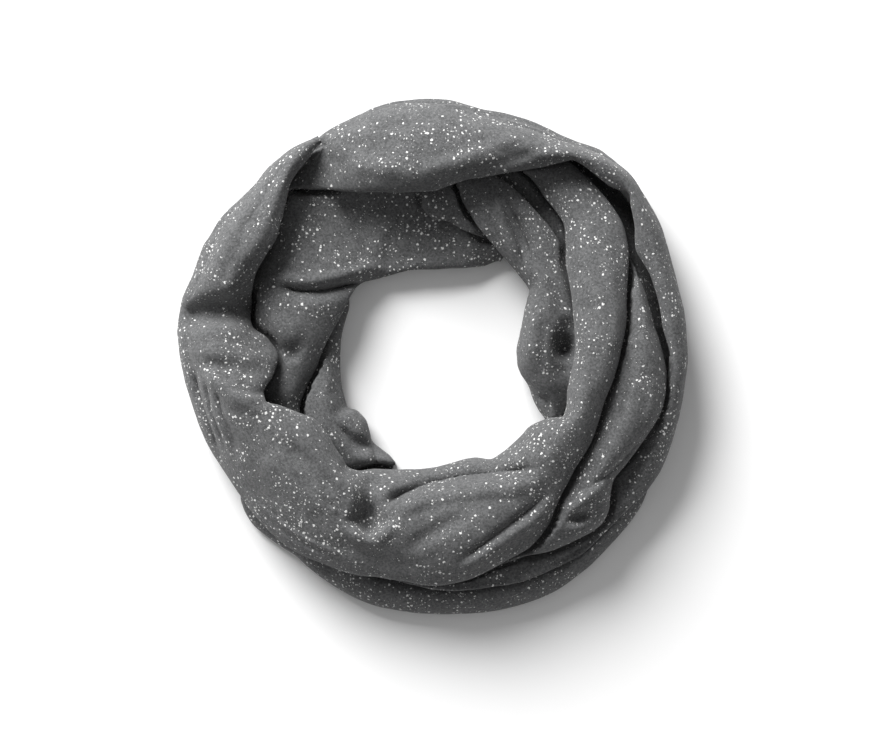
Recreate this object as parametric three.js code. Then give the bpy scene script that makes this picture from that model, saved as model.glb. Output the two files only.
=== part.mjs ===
// Infinity scarf: a wide tube of speckled grey jersey joined into a loop, wound twice and
// dropped flat in a loose ring. Millimetres, +Z up; the origin is the middle of the ring,
// on the surface that it lies on.
//
// Every stretch of cloth that shows is a wall with rolled edges. It follows the ring, so it
// is given by rails: curves round the ring at a radius and a height. A section through the
// rails at one angle is a smooth curve from the inner edge to the outer edge, and the wall is
// lofted through the sections. Angles are degrees, counterclockwise from +X.

import * as THREE from 'three';
import { LoftGeometry } from 'three/addons/geometries/LoftGeometry.js';

// ---- Driving dimensions ----------------------------------------------------------------
const WALL = 2; // the jersey tube lies double: two plies of 1 mm
const LAYER_PITCH = 5; // from the middle of one wall down to the middle of the next
const REACH = 4; // how far sideways a stretch looks for the one above it
const REACH_ANGLE = 2; // the same, round the ring, in degrees
const CORE_PITCH = 6; // from the middle of a wall down to the hidden layers
const CORE_REACH = 10; // how far the hidden layers look for the walls over them
const CORE_REACH_ANGLE = 5; // the same, round the ring, in degrees
const CORE_GAP_HEIGHT = 10; // height of the hidden layers where a gap shows them
const CORE_LOW = 2; // height of the hidden layers where walls come down to the floor
const CORE_GROOVE = 2.5; // depth of the grooves between the hidden layers' edges
const CORE_LAYERS = 3; // rounded layers that show round the edge of the hidden layers
const SECTION_STEPS = 48; // steps along a section where it is only measured

const JERSEY = { color: 0x5e5e60, roughness: 0.95, metalness: 0 };
const SHADED_JERSEY = { color: 0x3c3c3e, roughness: 1, metalness: 0 };

const radians = THREE.MathUtils.degToRad;

// ---- Curves round the ring -------------------------------------------------------------

/** A value round the ring through [angle, value] stations, smooth and without overshoot. */
function along(stations) {
  const angles = stations.map(([angle]) => angle);
  const values = stations.map(([, value]) => value);
  const last = stations.length - 1;
  const slope = (i) => (values[i + 1] - values[i]) / (angles[i + 1] - angles[i]);
  const tangents = values.map((_, i) => {
    if (i === 0 || i === last) return 0;
    const before = slope(i - 1);
    const after = slope(i);
    return before * after > 0 ? (2 * before * after) / (before + after) : 0;
  });
  return (angle) => {
    if (angle <= angles[0]) return values[0];
    if (angle >= angles[last]) return values[last];
    const i = angles.findIndex((next) => next > angle) - 1;
    const width = angles[i + 1] - angles[i];
    const t = (angle - angles[i]) / width;
    const rise = values[i + 1] - values[i];
    const ends = t * t * (3 - 2 * t) * rise;
    const lean = t * (1 - t) * width * ((1 - t) * tangents[i] - t * tangents[i + 1]);
    return values[i] + ends + lean;
  };
}

/** The same for a value that goes all the way round, from stations in -180 to 180. */
function allRound(stations) {
  const turn = (by) => stations.map(([angle, value]) => [angle + by, value]);
  const value = along([...turn(-360), ...turn(0), ...turn(360)]);
  return (angle) => value(angle > 180 ? angle - 360 : angle);
}

const steady = (value) => () => value;
const beside = (curve, offset) => (angle) => curve(angle) + offset(angle);
const blend = (from, to, part) => (angle) => (
  from(angle) + (to(angle) - from(angle)) * part(angle)
);
const share = (from, to, part) => blend(from, to, steady(part));

/** The scarf's outline from above. */
const outline = allRound([
  [-180, 168.5], [-170, 164], [-160, 161], [-150, 159.5], [-144, 162.5], [-136, 164.8],
  [-125, 162], [-115, 166], [-105, 170.6], [-90, 172.2], [-75, 175.4], [-65, 177], [-50, 174],
  [-35, 171], [-15, 168.6], [0, 169.5], [15, 170], [30, 175], [37, 177.5], [43, 179.3],
  [50, 176], [57, 170], [62, 168.3], [78, 168.6], [90, 172], [100, 172], [110, 168],
  [121, 165.5], [130, 167.5], [136, 165.5], [150, 169], [160, 168], [170, 171],
]);

// ---- The stretches that show -----------------------------------------------------------
// Each has rails from its inner edge to its outer edge, as [radius, height]; the steps of
// its faces along and across; its folds; and the stretches that lie over it, as
// [name, from angle, to angle].
//
// A fold is a soft ridge or trough along a path of [x, y] points. Its flanks are the widths
// to the left and right of the path, and its rise is positive for a ridge.

const FOOT_INSET = 3; // how far a wall that stands on the surface turns in

/** A rail pair, silhouette and turned-under edge, that goes from a roll to a foot. */
function edgeRails(radius, height, curl, drop, footing) {
  const tuckHeight = (angle) => {
    const rolled = height(angle) - drop(angle);
    return rolled * (1 - footing(angle)) + WALL / 2 * footing(angle);
  };
  return [[beside(radius, curl), tuckHeight], [radius, height]];
}

const outerLip = along([
  [-104, 136], [-60, 138], [-45, 140], [-35, 141], [-26, 145], [-20, 151], [-15, 155],
  [-10, 157.5], [0, 158], [8, 155], [20, 155], [27, 153], [33, 160.7], [37.5, 166],
  [40, 170], [42, 166.5], [45, 163.5], [54, 161.8], [57, 154.5], [60, 146.7], [65, 137],
  [75, 124], [80, 119.4], [85, 114.4], [90, 110.5], [100, 111.6], [110, 117], [118, 126],
  [125, 138], [131, 148],
]);
const outerLipHeight = along([
  [-104, 25], [-60, 27], [-45, 28], [-30, 29], [-20, 32], [-10, 40], [0, 44], [30, 47],
  [54, 49], [70, 53], [90, 55], [105, 54], [114, 43], [119, 34], [131, 25],
]);
const outerCrest = along([
  [-104, 143], [-90, 145], [-60, 153], [-45, 156], [-30, 159], [-15, 161], [0, 163],
  [20, 162], [35, 168], [43, 172], [50, 168], [57, 160], [65, 147], [75, 135], [90, 127],
  [100, 127], [110, 131], [118, 140], [125, 147], [131, 150],
]);
const outerCrestHeight = along([
  [-104, 30], [-75, 32], [-60, 33], [-45, 34], [-30, 37], [-15, 43], [0, 48], [30, 52],
  [50, 56], [60, 60], [75, 64], [95, 66], [104, 62], [112, 48], [117, 34], [122, 28],
  [131, 22],
]);
const outerEdge = along([
  [-104, 149], [-97.6, 151.3], [-90, 154], [-82.6, 156.3], [-75, 157.7], [-68, 160.6],
  [-60, 162], [-52, 164], [-44, 162.8], [-38, 164], [-32, 167.8], [-26, 169.2],
  [-15, 168.6], [0, 169.5], [15, 170], [30, 175], [37, 177.5], [43, 179.3], [50, 176],
  [57, 170], [62, 168.3], [78, 168.6], [90, 172], [100, 172], [110, 168], [116, 165.8],
  [119, 163.5], [122, 158], [126, 154], [131, 151.5],
]);
const outerEdgeHeight = along([
  [-104, 30], [-60, 32], [-36, 30], [-28, 24], [-20, 22], [60, 24], [110, 24], [131, 14],
]);
const outerLipCurl = along([[-30, -5], [-20, 9], [26, 8], [37, 3], [44, 4], [58, 9]]);
const outerFooting = along([[-34, 0], [-25, 1]]);

const underEdge = along([
  [-150, 155], [-147, 160], [-144, 162.3], [-136, 164.8], [-128, 162.8], [-125, 162],
  [-121, 163.4], [-115, 166], [-105, 170.6], [-90, 172.2], [-75, 175.4], [-65, 177],
  [-50, 174], [-35, 171], [-31, 168.5], [-27, 163], [-22, 158],
]);

const upperLip = along([
  [117.5, 161.6], [122, 157], [129, 150.4], [133.6, 142], [138.4, 135.6], [144.4, 130.4],
  [150, 129.8], [155, 131], [160, 130], [164, 127.5], [168, 124.5], [171, 120.5],
  [174, 111], [180, 104.2], [186.4, 107.7], [192, 115.5], [195, 115.5], [198, 106.5],
  [202.6, 97.5], [208.3, 88.6], [215.9, 87], [227.7, 90.6], [232.4, 93.4], [236.8, 91.4],
  [243.3, 84.5], [255.4, 79.3], [270, 75], [286, 72.3], [292, 73.5], [301, 79.8],
  [322, 79.8], [331, 86.8], [335.6, 96], [340, 95], [347, 92.4], [360, 94], [372, 96.6],
  [383, 100.8], [394, 108], [401, 118.3], [406.3, 125.9], [413.7, 130], [424, 138],
]);
const upperLipHeight = along([
  [117.5, 37], [121, 40], [128, 47], [135, 50], [148, 50], [157, 39], [168, 34], [176, 32],
  [184, 38], [192, 46], [200, 50], [215, 50], [230, 46], [240, 36], [255, 26], [285, 24],
  [310, 26], [322, 32], [333, 46], [345, 52], [365, 52], [385, 46], [400, 38], [424, 30],
]);
const upperLipDrop = along([
  [117.5, 5], [128, 15], [150, 15], [158, 8], [174, 8], [182, 15],
]);
const upperLipFooting = along([[231, 0], [246, 1], [318, 1], [330, 0]]);
const upperCrest = along([
  [117.5, 163.4], [125, 160], [135, 149], [145, 142], [155, 144], [165, 144], [175, 140],
  [185, 136], [195, 131], [203, 120], [212, 110], [225, 107], [240, 109], [255, 113],
  [270, 116], [285, 112], [300, 105], [315, 99], [328, 99], [340, 104], [360, 108],
  [375, 113], [390, 122], [400, 133], [410, 142], [424, 148],
]);
const upperCrestHeight = along([
  [117.5, 43], [121, 50], [125, 54], [135, 58], [148, 60], [160, 56], [170, 48], [180, 48],
  [190, 56],
  [200, 61], [215, 63], [240, 64], [270, 62], [290, 63], [310, 67], [330, 71], [350, 73],
  [365, 71], [380, 64], [395, 54], [408, 44], [424, 36],
]);
const upperEdge = along([
  [117.5, 165], [124, 167], [130, 167.5], [136, 165.5], [150, 169], [160, 168],
  [170, 171], [180, 168.5], [190, 164], [200, 161], [208, 158.6], [216, 157.4],
  [224, 158.6], [231, 158.4], [237, 157], [243.2, 154.6], [249, 153.4], [257, 150.2],
  [262, 149.8], [270, 151], [279.7, 148.6], [286, 145.1], [291.4, 142.3], [297, 141],
  [303.8, 134.8], [310, 126.4], [315.3, 122.3], [324, 118.4], [334, 117.4], [345, 116.4],
  [352.8, 119], [361, 123], [369, 128.6], [377.4, 134], [384, 141], [388.5, 146.8],
  [396.6, 154.4], [403.7, 156.3], [410, 157], [424, 160],
]);
const upperEdgeHeight = along([
  [117.5, 38], [121, 36], [130, 24], [150, 26], [180, 24], [202, 24], [214, 28], [232, 33],
  [245, 40], [270, 43],
  [290, 44], [303, 48], [315, 54], [330, 57], [355, 57], [372, 52], [385, 46], [400, 38],
  [424, 29],
]);
const upperFooting = along([[120, 0], [128, 1], [202, 1], [213, 0]]);
const upperEdgeDrop = along([
  [117.5, 5], [122, 9], [208, 22], [222, 9], [290, 9], [315, 15], [360, 16], [424, 9],
]);

const secondEdge = along([
  [-84, 148], [-73, 144.8], [-66, 145], [-60, 149.2], [-52, 153.8], [-45, 157.6],
  [-41.6, 155], [-38, 148.8], [-34, 144.4], [-28, 146.4], [-19, 151.5], [-11, 155.6],
  [-4, 154.6], [3, 150.2], [10, 147.2], [24, 146], [32, 148],
]);
const secondEdgeHeight = along([
  [-84, 37], [-66, 38], [-45, 38], [-30, 42], [-10, 44], [10, 43], [24, 38], [32, 33],
]);
const secondCrest = along([
  [-84, 136], [-66, 135], [-52, 139], [-42, 138], [-30, 133], [-15, 135], [0, 138],
  [15, 141], [32, 142],
]);
const secondCrestHeight = along([
  [-84, 36], [-72, 44], [-60, 52], [-45, 57], [-30, 60], [0, 61], [15, 55], [24, 47],
  [32, 37],
]);
const secondStart = along([
  [-84, 124], [-60, 122], [-45, 114], [-30, 108], [-10, 107], [0, 110], [15, 122], [32, 130],
]);

const innerEdge = along([
  [55, 80], [62, 71], [72, 64.2], [90, 60], [109, 61.4], [119, 63.5], [128, 67.6],
  [135, 70.5], [152, 68.2], [162, 69.6], [172, 72.7], [181, 77], [186, 80.4], [193, 88.3],
  [203, 97.5],
]);
const innerEdgeHeight = along([
  [55, 8], [72, 15], [100, 17], [118, 16], [132, 21], [142, 27], [165, 28], [180, 26],
  [203, 18],
]);
const innerFooting = along([[124, 1], [136, 0]]);
const innerCrest = along([
  [55, 100], [70, 92], [100, 90], [125, 93], [150, 97], [165, 97], [178, 92], [190, 98],
  [203, 104],
]);
const innerCrestHeight = along([
  [55, 18], [75, 21], [100, 21], [120, 20], [138, 33], [155, 40], [168, 40], [180, 33],
  [192, 30], [203, 22],
]);
const innerOuter = along([
  [55, 106], [73, 112], [84, 122], [100, 123], [110, 128], [118, 136], [125, 143],
  [135, 144], [144, 139], [150, 138], [160, 138], [166, 133], [171, 126], [176, 116],
  [181, 112], [187, 115], [193, 118], [203, 113],
]);
const innerOuterHeight = along([
  [55, 24], [80, 28], [110, 30], [128, 27], [140, 22], [155, 15], [172, 14], [185, 16],
  [203, 14],
]);

const lowerEdge = along([
  [137, 75], [143, 71.5], [152, 65.3], [166, 63.8], [180, 63], [193, 64.3], [205, 66.2],
  [210, 67.2], [216, 63], [222, 62.4], [228, 65.3], [235, 70.8], [245, 72.6], [252, 77],
  [258, 79.5],
]);

const fanEdge = along([
  [-29, 87], [-26.6, 80.5], [-23, 73.9], [-17, 68], [-10, 60.1], [-4, 57.3], [3, 57],
  [14, 60.9], [26, 68.9], [31, 74.6], [35, 79.9], [45, 80.6], [54, 82.4], [61, 85.4],
  [69, 91.4], [75.5, 100.2], [79, 107], [82, 116],
]);
const fanEdgeHeight = along([
  [-29, 14], [-10, 20], [10, 22], [30, 22], [46, 24], [58, 28], [70, 32], [82, 30],
]);
const fanFooting = along([[42, 1], [54, 0]]);
const fanCrest = along([
  [-29, 90], [-15, 78], [0, 70], [15, 74], [30, 87], [45, 97], [60, 103], [72, 112],
  [82, 121],
]);
const fanCrestHeight = along([
  [-29, 24], [-12, 34], [0, 39], [20, 40], [45, 37], [60, 37], [75, 37], [82, 34],
]);
const fanOuter = along([
  [-29, 94], [-15, 98], [0, 101], [15, 104], [30, 109], [38.5, 112.4], [46, 115.3],
  [55, 118.5], [62, 122.6], [71, 128], [82, 133],
]);
const fanOuterHeight = along([
  [-29, 20], [0, 28], [20, 31], [40, 32], [60, 32], [82, 30],
]);

const tuckedEdge = along([
  [64, 89], [68, 87], [75, 87], [80, 89.4], [84, 92], [89, 93], [92, 97], [93.8, 101],
]);
const shadedStart = along([[38, 106], [55, 112], [73, 121]]);

const stretches = {
  outer_turn: {
    from: -104, to: 131, steps: [39, 10],
    rails: [
      ...edgeRails(outerLip, outerLipHeight, outerLipCurl, along([[-30, 3], [-10, 15]]),
        steady(0)),
      [outerCrest, outerCrestHeight],
      [share(outerCrest, outerEdge, 0.66), share(outerEdgeHeight, outerCrestHeight, 0.72)],
      ...edgeRails(outerEdge, outerEdgeHeight, along([[-34, -7], [-25, -FOOT_INSET]]),
        steady(7), outerFooting).reverse(),
    ],
    folds: [
      { path: [[-72, 128], [-50, 138], [-25, 141]], flanks: [14, 16], rise: -3 },
      { path: [[20, 152], [60, 141], [95, 128]], flanks: [12, 10], rise: 2.5 },
    ],
    under: [['upper_turn', 116, 136], ['upper_turn', -108, -50], ['second_ridge', -88, 4]],
  },
  under_turn: {
    from: -150, to: -22, steps: [19, 7],
    rails: [
      [steady(138), steady(12)],
      [steady(146), along([[-150, 8], [-128, 17], [-105, 22], [-60, 22], [-22, 10]])],
      [beside(underEdge, steady(-13)), along([[-150, 9], [-128, 19], [-105, 25], [-60, 25],
        [-35, 21], [-22, 8]])],
      [beside(underEdge, steady(-3.5)), along([[-150, 7], [-128, 15], [-105, 18], [-60, 18],
        [-35, 15], [-22, 5]])],
      [underEdge, along([[-150, 4], [-128, 8], [-105, 9], [-45, 9], [-22, 3]])],
      [beside(underEdge, steady(-2)), steady(0)],
    ],
    folds: [],
    under: [['upper_turn', -152, -60], ['outer_turn', -112, -20]],
  },
  upper_turn: {
    from: 117.5, to: 424, steps: [50, 12],
    rails: [
      ...edgeRails(upperLip, upperLipHeight,
        along([[117.5, 1], [130, 6], [140, 10], [231, 8], [246, 3], [318, 3], [330, 7]]),
        upperLipDrop, upperLipFooting),
      [share(upperLip, upperCrest, 0.35), share(upperLipHeight, upperCrestHeight, 0.72)],
      [upperCrest, upperCrestHeight],
      [share(upperCrest, upperEdge, 0.62), share(upperEdgeHeight, upperCrestHeight, 0.68)],
      ...edgeRails(upperEdge, upperEdgeHeight, along([[203, -FOOT_INSET], [216, -9]]),
        upperEdgeDrop, upperFooting).reverse(),
    ],
    folds: [
      { path: [[-170, 26], [-150, 30], [-132, 33], [-116, 40]], flanks: [15, 17], rise: -18 },
      { path: [[-152, -6], [-130, -26], [-105, -33]], flanks: [8, 11], rise: 6 },
      { path: [[-162, -6], [-157, -20], [-151, -36]], flanks: [5, 6], rise: -4 },
      { path: [[-51, -107], [-43, -112], [-35, -107]], flanks: [26, 8], rise: -17 },
      { path: [[-33, -98], [-10, -86], [20, -79], [70, -73]], flanks: [8, 9], rise: -6 },
    ],
    under: [['outer_turn', 386, 428]],
  },
  second_ridge: {
    from: -84, to: 32, steps: [17, 8],
    rails: [
      [secondStart, along([[-84, 26], [-45, 34], [0, 36], [32, 26]])],
      [share(secondStart, secondCrest, 0.55), share(steady(34), secondCrestHeight, 0.72)],
      [secondCrest, secondCrestHeight],
      [share(secondCrest, secondEdge, 0.66), share(secondEdgeHeight, secondCrestHeight, 0.7)],
      ...edgeRails(secondEdge, secondEdgeHeight, steady(-7), steady(9), steady(0)).reverse(),
    ],
    folds: [
      { path: [[84, -106], [96, -107], [108, -103]], flanks: [9, 7], rise: -9 },
    ],
    under: [['upper_turn', -90, 38], ['outer_turn', 8, 38]],
  },
  inner_turn: {
    from: 55, to: 203, steps: [20, 9],
    rails: [
      ...edgeRails(innerEdge, innerEdgeHeight, along([[124, 2], [138, 7]]), steady(8),
        innerFooting),
      [share(innerEdge, innerCrest, 0.38),
        blend(innerEdgeHeight, innerCrestHeight, along([[105, 0.45], [135, 0.74]]))],
      [innerCrest, innerCrestHeight],
      [share(innerCrest, innerOuter, 0.7),
        blend(innerCrestHeight, innerOuterHeight, along([[115, 0.75], [135, 0.45]]))],
      [innerOuter, innerOuterHeight],
      [beside(innerOuter, steady(-1)), along([[120, 22], [140, 14], [155, 7], [203, 6]])],
    ],
    folds: [
      { path: [[-104, 47], [-80, 43], [-58, 48], [-32, 56]], flanks: [7, 9], rise: -10 },
    ],
    under: [['outer_turn', 55, 131], ['upper_turn', 119.5, 203], ['fan_fold', 46, 82],
      ['tucked_fold', 50, 99], ['shaded_fold', 34, 79]],
  },
  lower_inner_turn: {
    from: 137, to: 258, steps: [17, 7],
    rails: [
      [beside(lowerEdge, steady(2)), steady(0)],
      [lowerEdge, along([[137, 7], [180, 13], [225, 14], [258, 7]])],
      [beside(lowerEdge, steady(4)), along([[137, 10], [180, 19], [225, 23], [258, 11]])],
      [beside(lowerEdge, steady(13)), along([[137, 12], [180, 23], [215, 29], [235, 28],
        [258, 12]])],
      [beside(lowerEdge, steady(26)), along([[137, 12], [180, 20], [215, 28], [258, 12]])],
      [beside(lowerEdge, steady(36)), along([[137, 10], [215, 20], [258, 8]])],
    ],
    folds: [
      { path: [[-58, -52], [-50, -58], [-41, -66]], flanks: [7, 7], rise: -8 },
    ],
    under: [['inner_turn', 126, 208], ['upper_turn', 150, 258]],
  },
  fan_fold: {
    from: -29, to: 82, steps: [16, 8],
    rails: [
      ...edgeRails(fanEdge, fanEdgeHeight, along([[42, 3], [54, 7]]), steady(9), fanFooting),
      [share(fanEdge, fanCrest, 0.4), share(fanEdgeHeight, fanCrestHeight, 0.76)],
      [fanCrest, fanCrestHeight],
      [share(fanCrest, fanOuter, 0.6), share(fanCrestHeight, fanOuterHeight, 0.4)],
      [fanOuter, fanOuterHeight],
      [beside(fanOuter, steady(-6)), beside(fanOuterHeight, steady(-8))],
    ],
    folds: [
      { path: [[90, 18], [88, 8], [88, -6]], flanks: [12, 12], rise: -18 },
      { path: [[49, 104], [54, 92], [62, 68]], flanks: [5, 5], rise: -4 },
    ],
    under: [['outer_turn', 34, 88], ['upper_turn', -34, 64]],
  },
  tucked_fold: {
    from: 64, to: 93.8, steps: [6, 5],
    rails: [
      [beside(tuckedEdge, steady(5)), steady(27)],
      [tuckedEdge, along([[64, 27], [93, 31]])],
      [beside(tuckedEdge, steady(8)), along([[64, 29], [93, 36]])],
      [beside(tuckedEdge, steady(18)), along([[64, 28], [93, 35]])],
      [beside(tuckedEdge, steady(27)), along([[64, 26], [93, 31]])],
    ],
    folds: [],
    under: [['outer_turn', 50, 99], ['fan_fold', 46, 88]],
  },
  shaded_fold: {
    from: 38, to: 73, steps: [6, 5],
    rails: [
      [shadedStart, steady(15)],
      [beside(shadedStart, steady(8)), steady(19)],
      [beside(shadedStart, steady(18)), steady(21)],
      [beside(shadedStart, steady(27)), steady(19)],
      [beside(shadedStart, steady(34)), steady(16)],
    ],
    folds: [],
    under: [['outer_turn', 34, 79], ['fan_fold', 34, 88], ['upper_turn', 388, 428],
      ['tucked_fold', 50, 99]],
  },
};

// ---- From rails to settled sections ----------------------------------------------------

/** Distance from a point to a fold's path, and the side it lies on: 1 is the path's left. */
function placeOnPath(path, x, y) {
  let nearest = { distance: Infinity, side: 1 };
  for (let i = 0; i < path.length - 1; i += 1) {
    const [ax, ay] = path[i];
    const dx = path[i + 1][0] - ax;
    const dy = path[i + 1][1] - ay;
    const run = ((x - ax) * dx + (y - ay) * dy) / (dx * dx + dy * dy);
    const t = THREE.MathUtils.clamp(run, 0, 1);
    const distance = Math.hypot(x - ax - t * dx, y - ay - t * dy);
    if (distance < nearest.distance) {
      nearest = { distance, side: Math.sign(dx * (y - ay) - dy * (x - ax)) };
    }
  }
  return nearest;
}

/** What the folds add to the height at one place. */
function foldRise(folds, x, y) {
  return folds.reduce((sum, { path, flanks, rise }) => {
    const { distance, side } = placeOnPath(path, x, y);
    const flank = side > 0 ? flanks[0] : flanks[1];
    if (distance >= flank) return sum;
    return sum + rise * 0.5 * (1 + Math.cos(Math.PI * distance / flank));
  }, 0);
}

/** The angle as the stretch counts it, or null where the stretch doesn't reach. An angle
 *  within the margin of an end counts as the end. */
function angleOn({ from, to }, angle, margin = 0) {
  const turned = [angle, angle + 360, angle - 360];
  const found = turned.find((a) => a >= from - margin && a <= to + margin);
  return found === undefined ? null : THREE.MathUtils.clamp(found, from, to);
}

/** The middle of the wall at one angle, from the inner edge out, as [radius, height]. */
function designedSection(stretch, angle, steps) {
  const rails = stretch.rails.map(([radius, height]) => (
    new THREE.Vector2(radius(angle), height(angle))
  ));
  const curve = new THREE.SplineCurve(rails);
  curve.arcLengthDivisions = 4 * SECTION_STEPS;
  return curve.getSpacedPoints(steps).map((point) => {
    const x = point.x * Math.cos(radians(angle));
    const y = point.x * Math.sin(radians(angle));
    const floor = Math.min(point.y, WALL / 2);
    return [point.x, Math.max(point.y + foldRise(stretch.folds, x, y), floor)];
  });
}

const measured = new Map();

/** The settled section at a whole degree, kept for measuring. */
function measuredSection(name, angle) {
  const degree = Math.round(angle);
  const key = `${name} ${degree}`;
  if (!measured.has(key)) {
    measured.set(key, settledSection(name, degree, SECTION_STEPS));
  }
  return measured.get(key);
}

/** The lowest height of a stretch near a place, or infinity where it isn't overhead. */
function lowest(name, angle, radius, reach, reachAngle) {
  let height = Infinity;
  for (const turn of [-reachAngle, 0, reachAngle]) {
    const turned = angleOn(stretches[name], angle + turn, reachAngle);
    if (turned === null) continue;
    const section = measuredSection(name, turned);
    for (let i = 0; i < section.length - 1; i += 1) {
      const low = Math.min(section[i][0], section[i + 1][0]) - reach;
      const high = Math.max(section[i][0], section[i + 1][0]) + reach;
      if (radius >= low && radius <= high) {
        height = Math.min(height, section[i][1], section[i + 1][1]);
      }
    }
  }
  return height;
}

/** The section at one angle, pressed down where another stretch lies over it. */
function settledSection(name, angle, steps) {
  const stretch = stretches[name];
  return designedSection(stretch, angle, steps).map(([radius, height]) => {
    const ceilings = stretch.under.map(([upper, from, to]) => {
      const covered = angleOn({ from, to }, angle);
      if (covered === null) return Infinity;
      return lowest(upper, angle, radius, REACH, REACH_ANGLE) - LAYER_PITCH;
    });
    const settled = Math.min(height, ...ceilings);
    return [radius, height > 0 ? Math.max(settled, Math.min(height, WALL / 2)) : height];
  });
}

// ---- Solids ----------------------------------------------------------------------------

/** A wall of cloth along the middle surface given as rows of points, inner edge first. */
function wallGeometry(rows) {
  const at = (i, j) => rows[THREE.MathUtils.clamp(i, 0, rows.length - 1)][
    THREE.MathUtils.clamp(j, 0, rows[0].length - 1)];
  const sections = rows.map((row, i) => {
    const upper = [];
    const lower = [];
    row.forEach((point, j) => {
      const across = at(i, j + 1).clone().sub(at(i, j - 1));
      const round = at(i + 1, j).clone().sub(at(i - 1, j));
      const out = across.cross(round).normalize().multiplyScalar(WALL / 2);
      upper.push(point.clone().add(out));
      lower.push(point.clone().sub(out));
    });
    const ring = [...upper, ...lower.reverse()];
    ring.forEach((point) => { point.z = Math.max(point.z, 0); });
    return ring;
  });
  return withThinEnds(new LoftGeometry(sections), sections.length, sections[0].length);
}

/** Closes both ends of a lofted wall, whose rings go out along one skin and back along the
 *  other, with a strip of faces across its thickness. */
function withThinEnds(geometry, rings, ringPoints) {
  const faces = [...geometry.index.array];
  const firstOfLast = (rings - 1) * (ringPoints + 1);
  for (let j = 0; j < ringPoints / 2 - 1; j += 1) {
    const corners = [j, j + 1, ringPoints - 2 - j, ringPoints - 1 - j];
    const [a, b, c, d] = corners;
    faces.push(a, c, b, a, d, c);
    const [e, f, g, h] = corners.map((corner) => corner + firstOfLast);
    faces.push(e, f, g, e, g, h);
  }
  geometry.setIndex(faces);
  return geometry;
}

function clothMesh(name, finish) {
  const { from, to, steps: [round, across] } = stretches[name];
  const rows = [];
  for (let i = 0; i <= round; i += 1) {
    const angle = from + (to - from) * i / round;
    rows.push(settledSection(name, angle, across).map(([radius, height]) => (
      new THREE.Vector3(radius * Math.cos(radians(angle)), radius * Math.sin(radians(angle)),
        height)
    )));
  }
  const mesh = new THREE.Mesh(wallGeometry(rows), new THREE.MeshStandardMaterial(finish));
  mesh.name = name;
  return mesh;
}

// ---- The hidden layers -----------------------------------------------------------------

const coreInner = allRound([
  [-180, 76], [-150, 80], [-130, 90], [-120, 98], [-110, 98], [-100, 90], [-75, 86], [-45, 92],
  [-25, 98], [-10, 76], [5, 68], [20, 74], [35, 90], [60, 92], [90, 72], [118, 76],
  [138, 86], [155, 78],
]);
const coreInset = allRound([
  [-162, 9], [-150, 16], [-138, 10], [-35, 9], [-24, 17], [-15, 9], [114, 9], [121, 26],
  [131, 28], [139, 9],
]);
const CORE_HEIGHT = 48; // the hidden layers' height where nothing presses them lower
const CORE_TOP_STEPS = 7;
const CORE_SIDE_STEPS = 2; // faces up each rounded layer
const CORE_TURN_STEPS = 48;

/** Height of the hidden layers at one place: below every stretch, low under a gap. */
function coreHeight(angle, radius) {
  const overhead = Object.keys(stretches).map((name) => (
    lowest(name, angle, radius, CORE_REACH, CORE_REACH_ANGLE)
  ));
  const ceiling = Math.min(...overhead);
  return ceiling === Infinity ? CORE_GAP_HEIGHT : Math.min(ceiling - CORE_PITCH, CORE_HEIGHT);
}

/** One side of the hidden layers: rounded edges of layers, grooved where they meet. */
function coreSide(radius, height, inward) {
  const steps = CORE_LAYERS * CORE_SIDE_STEPS;
  return Array.from({ length: steps }, (_, i) => {
    const grooved = i % CORE_SIDE_STEPS === 0 && i > 0;
    return [radius + (grooved ? inward * CORE_GROOVE : 0), height * i / steps];
  });
}

function hiddenLayers(finish) {
  const sections = [];
  for (let i = 0; i <= CORE_TURN_STEPS; i += 1) {
    const angle = -180 + 360 * (i % CORE_TURN_STEPS) / CORE_TURN_STEPS;
    const inner = coreInner(angle);
    const outer = outline(angle) - coreInset(angle);
    const top = Array.from({ length: CORE_TOP_STEPS + 1 }, (_, j) => {
      const radius = inner + (outer - inner) * j / CORE_TOP_STEPS;
      return [radius, Math.max(coreHeight(angle, radius), CORE_LOW)];
    });
    const innerSide = coreSide(inner, top[0][1], 1);
    const outerSide = coreSide(outer, top[CORE_TOP_STEPS][1], -1);
    const ring = [...innerSide, ...top, ...outerSide.reverse()];
    sections.push(ring.map(([radius, height]) => new THREE.Vector3(
      radius * Math.cos(radians(angle)), radius * Math.sin(radians(angle)), height)));
  }
  const mesh = new THREE.Mesh(new LoftGeometry(sections),
    new THREE.MeshStandardMaterial(finish));
  mesh.name = 'hidden_layers';
  return mesh;
}

// ---- The scarf -------------------------------------------------------------------------

const scarf = new THREE.Group();
scarf.add(hiddenLayers(SHADED_JERSEY));
for (const name of Object.keys(stretches)) scarf.add(clothMesh(name, JERSEY));

export default scarf;
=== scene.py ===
"""Infinity scarf of speckled grey jersey, wound twice and lying in a loose ring.

Every stretch of cloth that shows is a thin shell on the form of its solid in the frame. A
shell follows rails round the ring, and its folds and creases are laid in along listed paths.
It leaves its solid by a few millimetres where hidden ends are trimmed or a gap is closed.
Sizes in the classes are millimetres and degrees, counterclockwise from +X; meshes are metres.
"""

import logging
import math
from dataclasses import dataclass, field
from enum import Enum
from typing import Callable, ClassVar

import bmesh
import bpy
import numpy as np
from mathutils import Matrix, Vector, noise

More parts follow.
